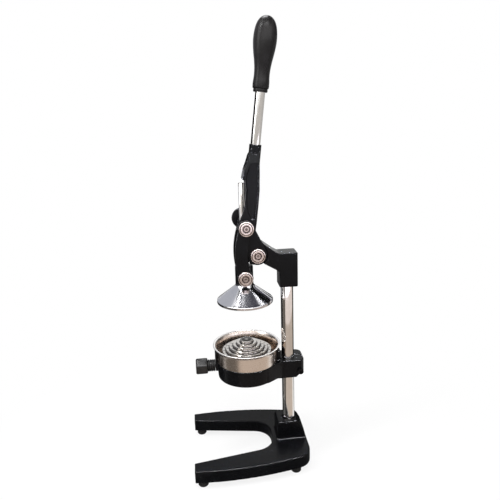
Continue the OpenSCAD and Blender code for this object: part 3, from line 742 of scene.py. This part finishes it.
cone = {
    "steps": 144,
    "profile": [  # rim, up the outside to the hub, then the hollow back down
        (45.7, 304.35, 0.3), (48.2, 304.35, 0.6), (48.65, 305.0, 0.5), (48.65, 308.6, 0.6),
        (47.6, 309.5, 0.8), (45.2, 311.2, 1.5), (17.4, 333.0, 3.0), (15.5, 336.2, 2.5), (15.5, 367.9, 1.2),
        (14.4, 368.95, 1.0), (0.0, 368.95), (0.0, 332.4), (9.5, 331.3, 4.0), (30.5, 317.0, 8.0),
        (44.2, 308.3, 2.0), (45.7, 306.8, 1.0)],
}
strainerSteel = domeSteel("strainerSteel", domeLook, strainer)


def strainerProfile():
    # stepped dome: the ring tops lie on a cone, each tread dips a little behind its edge
    s = strainer
    pitch = (s["radius"] - s["disc"]) / s["rings"]
    top, under = [(s["flange"], s["step"] + s["wall"], 0.5)], [(s["flange"], s["step"] + 0.05, 0.3)]
    for i in range(s["rings"] + 1):
        r = s["radius"] - i * pitch
        drop = (s["height"] - s["firstHeight"]) * (r - s["disc"]) / (s["radius"] - s["disc"])
        z = s["step"] + s["height"] - drop
        top += [(r, top[-1][1] - (s["dish"] if i else 0), 0.9), (r, z - 0.05, 1.3)]
        under += [(r - s["wall"], under[-1][1], 0.5), (r - s["wall"], z - s["wall"], 0.4)]
    top.append((0.0, top[-1][1]))
    under.append((0.0, under[-1][1]))
    return rounded(under[::-1] + top, 0.5, 3)


def buildTree(name, inputs):
    tree = bpy.data.node_groups.new(name, "GeometryNodeTree")
    tree.interface.new_socket("Geometry", in_out="INPUT", socket_type="NodeSocketGeometry")
    for label, kind in inputs.items():
        tree.interface.new_socket(label, in_out="INPUT", socket_type="NodeSocket" + kind)
    tree.interface.new_socket("Geometry", in_out="OUTPUT", socket_type="NodeSocketGeometry")
    return tree, tree.nodes.new("NodeGroupInput"), tree.nodes.new("NodeGroupOutput")


def treeNode(tree, kind, settings=None, sockets=None):
    node = tree.nodes.new(kind)
    for key, value in (settings or {}).items():
        setattr(node, key, value)
    for key, value in (sockets or {}).items():
        if isinstance(value, bpy.types.NodeSocket):
            tree.links.new(value, node.inputs[key])
        else:
            node.inputs[key].default_value = value
    return node


def runTree(obj, tree, values):
    grow = obj.modifiers.new(tree.name, "NODES")
    grow.node_group = tree
    for item in tree.interface.items_tree:
        if item.in_out == "INPUT" and item.name in values:
            grow[item.identifier] = values[item.name]
    obj.update_tag()
    return freeze(obj)


def holeTree(rows):
    # rows of drain holes cut down through the strainer, fewer in each inner row
    tree, given, result = buildTree("drainHoles", {
        "Hole radius": "Float", "Row radius": "Float", "Row pitch": "Float", "Holes": "Int",
        "Fewer": "Int", "Low": "Float", "Depth": "Float", "Material": "Material"})
    pin = treeNode(tree, "GeometryNodeMeshCylinder", sockets={
        "Vertices": 12, "Radius": given.outputs["Hole radius"], "Depth": given.outputs["Depth"]})
    cut = treeNode(tree, "GeometryNodeMeshBoolean", {"operation": "DIFFERENCE"})
    tree.links.new(given.outputs["Geometry"], cut.inputs["Mesh 1"])
    for row in range(rows):
        count = treeNode(tree, "ShaderNodeMath", {"operation": "MULTIPLY_ADD"}, {
            0: given.outputs["Fewer"], 1: float(-row), 2: given.outputs["Holes"]})
        reach = treeNode(tree, "ShaderNodeMath", {"operation": "MULTIPLY_ADD"}, {
            0: given.outputs["Row pitch"], 1: float(-row), 2: given.outputs["Row radius"]})
        circle = treeNode(tree, "GeometryNodeMeshCircle", sockets={
            "Vertices": count.outputs[0], "Radius": reach.outputs[0]})
        lift = treeNode(tree, "ShaderNodeCombineXYZ", sockets={"Z": given.outputs["Low"]})
        shift = treeNode(tree, "GeometryNodeTransform", sockets={
            "Geometry": circle.outputs[0], "Translation": lift.outputs[0]})
        rowOf = treeNode(tree, "GeometryNodeInstanceOnPoints", sockets={
            "Points": shift.outputs[0], "Instance": pin.outputs[0]})
        solid = treeNode(tree, "GeometryNodeRealizeInstances", sockets={"Geometry": rowOf.outputs[0]})
        tree.links.new(solid.outputs[0], cut.inputs["Mesh 2"])
    plain = treeNode(tree, "GeometryNodeRealizeInstances", sockets={"Geometry": cut.outputs["Mesh"]})
    paint = treeNode(tree, "GeometryNodeSetMaterial", sockets={
        "Geometry": plain.outputs[0], "Material": given.outputs["Material"]})
    tree.links.new(paint.outputs[0], result.inputs[0])
    return tree


def makeCupParts():
    mesh = turned(rounded(cup["profile"], 0.5, 4, True), None, cup["steps"], True)
    install(newPiece("juiceCup", mesh, cupSteel), "cup", "cup_steel", "cup", "cup_bowl", "cup_spout")
    s = strainer
    raw = newPiece("strainerDome", turned(strainerProfile(), None, s["steps"]), strainerSteel)
    pitch = (s["radius"] - s["disc"]) / s["rings"]
    mesh = runTree(raw, holeTree(s["holeRows"]), {
        "Hole radius": s["holeRadius"] * mm, "Row radius": (s["radius"] - 0.5 * pitch) * mm,
        "Row pitch": pitch * mm, "Holes": s["outerHoles"], "Fewer": s["fewer"],
        "Low": (s["step"] + s["holeMiddle"]) * mm, "Depth": s["holeDeep"] * mm,
        "Material": strainerSteel})
    install(newPiece("strainerDome", mesh, strainerSteel), "strainer", "cup_steel", "strainer")
    mesh = turned(rounded(cone["profile"], 0.5, 5), None, cone["steps"])
    install(newPiece("pressCone", mesh, coneMetal), "ram", "cone_metal", "press_cone")
    print("cup, strainer and cone made")


bolts = {
    # heads start at "from" and end at "to"; a shank runs on to "end"; one head for each of "sides"
    "fulcrumBolt": {
        "node": "fulcrum_bolt", "body": "stand", "at": (22.5, 389.0), "from": 16.0, "to": 22.5,
        "shank": 6.0, "end": -19.4, "sides": (1,)},
    "fulcrumNut": {
        "node": "fulcrum_nut", "body": "stand", "at": (22.5, 389.0), "from": 16.0, "to": 22.5,
        "shank": 0.0, "end": 0.0, "sides": (-1,)},
    "lowerBolt": {
        "node": "lower_bolt", "body": "ram", "at": (0.0, 351.5), "from": 21.9, "to": 27.4,
        "shank": 5.0, "end": -25.3, "sides": (1,)},
    "lowerNut": {
        "node": "lower_nut", "body": "ram", "at": (0.0, 351.5), "from": 21.9, "to": 27.4,
        "shank": 0.0, "end": 0.0, "sides": (-1,)},
    "upperBoltHeads": {
        "node": "upper_bolt_heads", "body": "links", "at": (4.0, 437.0), "from": 21.55, "to": 27.0,
        "shank": 6.0, "end": 16.1, "sides": (1, -1)},
}
headShape = {
    "radius": 12.5,
    "step": 0.8,
    "stepDown": 0.7,
    "grooves": ((10.9, 9.5), (6.2, 5.0)),
    "grooveDeep": 0.8,
    "dimple": 1.9,
    "dimpleDeep": 0.8,
}


def headProfile(low, high, shank, end):
    h = headShape
    floor = high - h["grooveDeep"]
    bottom = high - h["dimpleDeep"]
    face = [(h["radius"], low, 0.3), (h["radius"], high - h["stepDown"], 0.6)]
    face.append((h["radius"] - h["step"], high - 0.3, 0.5))
    for out, into in h["grooves"]:
        face += [(out, high, 0.3), (out - 0.3, floor, 0.3), (into + 0.3, floor, 0.3), (into, high, 0.3)]
    face += [(h["dimple"], high, 0.3), (h["dimple"] * 0.3, bottom, 0.3), (0.0, bottom)]
    under = [(0.0, end), (shank, end), (shank, low)] if shank else [(0.0, low)]
    return rounded(under + face, 0.2, 3)


def makeBolts():
    for name, b in bolts.items():
        steel = boltSteel(name + "Steel", boltLook, b["at"])
        meshes = []
        for side in b["sides"]:
            profile = headProfile(b["from"], b["to"], b["shank"], b["end"])
            meshes.append(turned(profile, alongX(*b["at"], flip=side < 0)))
        install(newPiece(name, joined(meshes), steel), b["body"], "fastener_steel", b["node"])
    print("bolts made")


knob = {
    "axisHeight": 186.0,
    "start": -57.7,
    "neckRadius": 10.65,
    "neckLength": 13.5,
    "ribs": 4,
    "ribRadius": 1.6,
    "intoHead": 0.5,        # how far the neck runs on into the head
    "headCorner": 15.55,
    "headLength": 20.9,
    "turned": 25.0,         # how far the head stands turned about its axis, degrees
    "edge": 2.4,
}


def ribTree():
    # a plain neck with rounded ribs strung along it
    tree, given, result = buildTree("neckRibs", {
        "Ribs": "Int", "Neck radius": "Float", "Rib radius": "Float", "Pitch": "Float",
        "Length": "Float", "Material": "Material"})
    pitch, length = given.outputs["Pitch"], given.outputs["Length"]
    ringReach = treeNode(tree, "ShaderNodeMath", {"operation": "SUBTRACT"}, {
        0: given.outputs["Neck radius"], 1: given.outputs["Rib radius"]})
    ring = treeNode(tree, "GeometryNodeCurvePrimitiveCircle", sockets={
        "Resolution": 64, "Radius": ringReach.outputs[0]})
    wire = treeNode(tree, "GeometryNodeCurvePrimitiveCircle", sockets={
        "Resolution": 10, "Radius": given.outputs["Rib radius"]})
    rib = treeNode(tree, "GeometryNodeCurveToMesh", sockets={
        "Curve": ring.outputs[0], "Profile Curve": wire.outputs[0]})
    stepUp = treeNode(tree, "ShaderNodeCombineXYZ", sockets={"Z": pitch})
    halfStep = treeNode(tree, "ShaderNodeMath", {"operation": "MULTIPLY"}, {0: pitch, 1: 0.5})
    firstUp = treeNode(tree, "ShaderNodeCombineXYZ", sockets={"Z": halfStep.outputs[0]})
    line = treeNode(tree, "GeometryNodeMeshLine", sockets={
        "Count": given.outputs["Ribs"], "Start Location": firstUp.outputs[0], "Offset": stepUp.outputs[0]})
    row = treeNode(tree, "GeometryNodeInstanceOnPoints", sockets={
        "Points": line.outputs[0], "Instance": rib.outputs[0]})
    core = treeNode(tree, "GeometryNodeMeshCylinder", sockets={
        "Vertices": 64, "Radius": ringReach.outputs[0], "Depth": length})
    halfLength = treeNode(tree, "ShaderNodeMath", {"operation": "MULTIPLY"}, {0: length, 1: 0.5})
    coreUp = treeNode(tree, "ShaderNodeCombineXYZ", sockets={"Z": halfLength.outputs[0]})
    coreAt = treeNode(tree, "GeometryNodeTransform", sockets={
        "Geometry": core.outputs[0], "Translation": coreUp.outputs[0]})
    both = treeNode(tree, "GeometryNodeJoinGeometry")
    for part in (given.outputs["Geometry"], row.outputs[0], coreAt.outputs[0]):
        tree.links.new(part, both.inputs[0])
    plain = treeNode(tree, "GeometryNodeRealizeInstances", sockets={"Geometry": both.outputs[0]})
    paint = treeNode(tree, "GeometryNodeSetMaterial", sockets={
        "Geometry": plain.outputs[0], "Material": given.outputs["Material"]})
    tree.links.new(paint.outputs[0], result.inputs[0])
    return tree


def makeKnob():
    # six-sided head with its corners and ends rounded
    shape = bmesh.new()
    low, high = knob["neckLength"] * mm, (knob["neckLength"] + knob["headLength"]) * mm
    corner = knob["headCorner"] * mm
    angles = [math.radians(knob["turned"] + 60 * k) for k in range(6)]
    rings = [[shape.verts.new((corner * math.cos(a), corner * math.sin(a), z)) for a in angles]
             for z in (low, high)]
    for k in range(6):
        shape.faces.new((rings[0][k], rings[0][(k + 1) % 6], rings[1][(k + 1) % 6], rings[1][k]))
    shape.faces.new(rings[0])
    shape.faces.new(rings[1])
    bmesh.ops.recalc_face_normals(shape, faces=shape.faces)
    mesh = bpy.data.meshes.new("knobHead")
    shape.to_mesh(mesh)
    shape.free()
    obj = newPiece("knobHead", mesh, knobPlastic)
    soften = obj.modifiers.new("edges", "BEVEL")
    soften.width, soften.segments, soften.limit_method = knob["edge"] * mm, 4, "ANGLE"
    mesh = freeze(obj)
    obj = newPiece("frontKnob", mesh, knobPlastic)
    mesh = runTree(obj, ribTree(), {
        "Ribs": knob["ribs"], "Neck radius": knob["neckRadius"] * mm,
        "Rib radius": knob["ribRadius"] * mm, "Pitch": knob["neckLength"] / knob["ribs"] * mm,
        "Length": (knob["neckLength"] + knob["intoHead"]) * mm, "Material": knobPlastic})
    mesh.transform(Matrix.Translation((0, knob["start"] * mm, knob["axisHeight"] * mm))
                   @ Matrix.Rotation(math.radians(90), 4, "X"))
    install(newPiece("frontKnob", mesh, knobPlastic, 40), "knob", "black_plastic", "knob")
    print("knob made")


carried = {
    # pieces that keep their CAD shape
    "rubber_feet": rubber,
    "foot_screws": zinc,
    "post_bolt": zinc,
    "post_washer": zinc,
    "head_set_screws": zinc,
    "guide_bush": bronze,
    "clamp_screw": blackOxide,
    "clamp_nut": blackOxide,
    "knob_stud": zinc,
    "rod_nut": blackOxide,
    "upper_bolt_shanks": zinc,
    "fulcrum_bushes": bronze,
    "tube_pin": blackOxide,
}


def paintCarried():
    for node, material in carried.items():
        cad[node].data.materials.clear()
        cad[node].data.materials.append(material)
    print("carried pieces painted")


studio = {
    "floorSize": 6.0,
    "floorDark": (0.80, 0.80, 0.80),
    "floorLight": (0.84, 0.84, 0.84),
    "clearFrom": 0.20,      # where the floor starts to fade to the white background, metres
    "clearOver": 0.35,
    "clearNear": 0.86,      # share of plain white already under the object
    "worldLevel": 0.55,
    "lens": 36.0,
    "sensor": 36.0,
    "right": (0.10891, 0.99357, -0.03106),
    "up": (-0.25004, 0.05762, 0.96652),
    "ahead": (-0.96209, 0.0975, -0.2547),
    "eye": (0.81816, -0.07145, 0.61190),
}
lamps = {
    "frontPanel": {"at": (0.75, 0.05, 1.75), "aim": (0, 0, 0.25), "size": (0.9, 0.6), "power": 16},
    "streakPanel": {"at": (0.17, -0.47, 1.55), "aim": (0, 0, 0.3), "size": (0.09, 0.9), "power": 11},
    "leftPanel": {"at": (0.5, -1.6, 1.3), "aim": (0, 0, 0.35), "size": (0.8, 1.2), "power": 12},
}
boards = {
    # boards round the object that only its gloss sees; turn is degrees from +X towards +Y,
    # inner and outer are [distance from the axis, height] of its two long edges; flat ones have
    # two corners and a height, and enamelOnly ones light no piece but the enamelled ones
    "backBoard": {
        "turn": (95, 266), "inner": (0.60, 0.0), "outer": (0.60, 0.30), "shade": (0.02, 0.02, 0.02)},
    "leftBoard": {
        "turn": (-93, -37), "inner": (0.60, 0.0), "outer": (0.60, 0.44), "shade": (0.15, 0.135, 0.12)},
    "tubeDarkBoard": {
        "turn": (-196, -80), "inner": (0.12, 0.53), "outer": (0.12, 0.69), "shade": (0.01, 0.01, 0.01)},
    "tubeFrontBoard": {
        "turn": (-46, 66), "inner": (0.60, 0.52), "outer": (0.60, 0.67), "shade": (0.62, 0.60, 0.58)},
    "rodLeftBoard": {
        "turn": (-140, -86), "inner": (0.54, 0.28), "outer": (0.54, 0.42), "shade": (0.01, 0.01, 0.01)},
    "rodRightBoard": {
        "turn": (94, 150), "inner": (0.54, 0.28), "outer": (0.54, 0.42), "shade": (0.01, 0.01, 0.01)},
    "frontBoard": {
        "turn": (-37, 95), "inner": (0.60, 0.0), "outer": (0.60, 0.21), "shade": (0.56, 0.48, 0.42)},
    "boltBoard": {
        "turn": (-37, 95), "inner": (0.60, 0.21), "outer": (0.60, 0.34), "shade": (0.86, 0.77, 0.73)},
    "sideBoard": {
        "turn": (176, 206), "inner": (0.58, 0.13), "outer": (0.58, 0.31), "shade": (0.24, 0.24, 0.24)},
    "leverBoard": {
        "turn": (-37, 60), "inner": (0.60, 0.34), "outer": (0.60, 0.52), "shade": (2.2, 2.15, 2.35)},
    "edgeBoard": {
        "turn": (-40, 60), "inner": (0.95, 0.78), "outer": (0.70, 1.15), "shade": (3.6, 3.6, 3.6)},
    "tubeBoard": {
        "turn": (66, 128), "inner": (0.60, 0.44), "outer": (0.60, 0.80), "shade": (0.55, 0.54, 0.53)},
    "coneLeftBoard": {
        "turn": (-176, -92), "inner": (0.55, 0.34), "outer": (0.55, 1.25), "shade": (0.54, 0.55, 0.59)},
    "coneRightBoard": {
        "turn": (88, 140), "inner": (0.70, 0.45), "outer": (0.70, 1.20), "shade": (0.13, 0.12, 0.15)},
    "nearFloor": {
        "turn": (-180, 180), "inner": (0.0, 0.001), "outer": (0.165, 0.001), "shade": (0.12, 0.12, 0.12)},
    "leftFloor": {
        "turn": (-93, -37), "inner": (0.165, 0.001), "outer": (0.60, 0.001), "shade": (0.15, 0.135, 0.12)},
    "frontFloor": {
        "turn": (-37, 80), "inner": (0.165, 0.001), "outer": (0.60, 0.001), "shade": (0.64, 0.55, 0.48)},
    "backFloor": {
        "turn": (112, 262), "inner": (0.165, 0.001), "outer": (0.60, 0.001), "shade": (0.02, 0.02, 0.02)},
    "gripBoard": {
        "corners": ((-0.34, -0.10), (-0.05, 0.16)), "height": 1.20, "shade": (10.0, 10.0, 10.3)},
    "topEdgeStrip": {
        "corners": ((0.30, -0.80), (0.42, 0.80)), "height": 1.30, "shade": (240, 240, 250),
        "enamelOnly": True},
    "leftEdgeStrip": {
        "turn": (-90, -80), "inner": (0.62, 0.20), "outer": (0.62, 0.52), "shade": (150, 144, 164),
        "enamelOnly": True},
    "ceilingBoard": {
        "corners": ((-0.55, -0.34), (0.35, 0.62)), "height": 1.30, "shade": (0.07, 0.07, 0.085)},
}


def onlyInGloss(obj):
    obj.visible_camera = obj.visible_diffuse = obj.visible_shadow = False


def boardFinish(name, shade):
    finish = Finish(name)
    # a slow drift of a tenth either way keeps the reflection from looking flat
    glow = finish.tint(finish.noise(3, 2), [c * 0.9 for c in shade], [c * 1.1 for c in shade])
    finish.set(Base_Color=(0, 0, 0, 1), Specular_IOR_Level=0.0, Roughness=1.0,
               Emission_Color=glow, Emission_Strength=1.0)
    return finish.material


def boardMesh(name, b):
    mesh = bpy.data.meshes.new(name)
    if "corners" in b:
        (x0, y0), (x1, y1) = b["corners"]
        z = b["height"]
        mesh.from_pydata([(x0, y0, z), (x1, y0, z), (x1, y1, z), (x0, y1, z)], [], [(0, 1, 2, 3)])
        return mesh
    steps = 12
    start, end = (math.radians(a) for a in b["turn"])
    angles = [start + (end - start) * k / steps for k in range(steps + 1)]
    edges = (b["inner"], b["outer"])
    points = [(r * math.cos(a), r * math.sin(a), z) for r, z in edges for a in angles]
    faces = [(k, k + 1, k + steps + 2, k + steps + 1) for k in range(steps)]
    mesh.from_pydata(points, [], faces)
    return mesh


def makeBoards():
    enamelPieces = bpy.data.collections.new("enamelPieces")
    for piece in bpy.context.scene.objects:
        if piece.type == "MESH" and piece.active_material in (enamel, linkEnamel):
            enamelPieces.objects.link(piece)
    for name, b in boards.items():
        board = newPiece(name, boardMesh(name, b), boardFinish(name, b["shade"]))
        onlyInGloss(board)
        if b.get("enamelOnly"):
            board.light_linking.receiver_collection = enamelPieces
            board.data.materials[0].cycles.emission_sampling = "NONE"
    print("boards set")


def makeStudio():
    scene = bpy.context.scene
    world = bpy.data.worlds.new("studioWorld")
    scene.world = world
    world.use_nodes = True
    sky = Graph(world.node_tree)
    level = studio["worldLevel"]
    strength = sky.seen() * (1 - level) + level
    light = sky.add("ShaderNodeBackground", sockets={"Color": (1, 1, 1, 1), "Strength": strength})
    sky.add("ShaderNodeOutputWorld", sockets={"Surface": light})

    half = studio["floorSize"] / 2
    mesh = bpy.data.meshes.new("studioFloor")
    corners = [(-half, -half, 0), (half, -half, 0), (half, half, 0), (-half, half, 0)]
    mesh.from_pydata(corners, [], [(0, 1, 2, 3)])
    paper = Finish("floorPaper")
    x, y, z = paper.axes()
    tone = paper.tint(paper.noise(3, 2), studio["floorDark"], studio["floorLight"])
    paper.set(Base_Color=tone, Roughness=0.9, Specular_IOR_Level=0.0)
    near = studio["clearNear"]
    away = ((paper.spread(x, y) - studio["clearFrom"]) / studio["clearOver"]).clamp()
    fade = away * (1 - near) + near
    white = paper.add("ShaderNodeEmission", sockets={"Color": (1, 1, 1, 1), "Strength": 1.0})
    mixed = paper.add("ShaderNodeMixShader", sockets={
        0: paper.seen() * fade, 1: Value(paper.tree, paper.shader.outputs[0]), 2: white})
    paper.feed(paper.output.inputs[0], mixed)
    newPiece("studioFloor", mesh, paper.material)

    for name, lamp in lamps.items():
        light = bpy.data.lights.new(name, "AREA")
        light.shape, light.size, light.size_y = "RECTANGLE", *lamp["size"]
        light.energy = lamp["power"]
        obj = bpy.data.objects.new(name, light)
        obj.location = lamp["at"]
        beam = Vector(lamp["aim"]) - Vector(lamp["at"])
        obj.rotation_euler = beam.to_track_quat("-Z", "Y").to_euler()
        scene.collection.objects.link(obj)

    data = bpy.data.cameras.new("photoCamera")
    data.lens, data.sensor_width, data.sensor_fit = studio["lens"], studio["sensor"], "HORIZONTAL"
    data.clip_start, data.clip_end = 0.01, 50
    camera = bpy.data.objects.new("photoCamera", data)
    right, up, ahead = (Vector(studio[k]) for k in ("right", "up", "ahead"))
    facing = Matrix((right, up, -ahead)).transposed().to_4x4()
    camera.matrix_world = Matrix.Translation(studio["eye"]) @ facing
    scene.collection.objects.link(camera)
    scene.camera = camera
    scene.view_settings.view_transform = "Standard"
    print("studio ready")


makeCastings()
makeLinks()
makeBars()
makeGrip()
makeCupParts()
makeBolts()
makeKnob()
paintCarried()
makeStudio()
makeBoards()
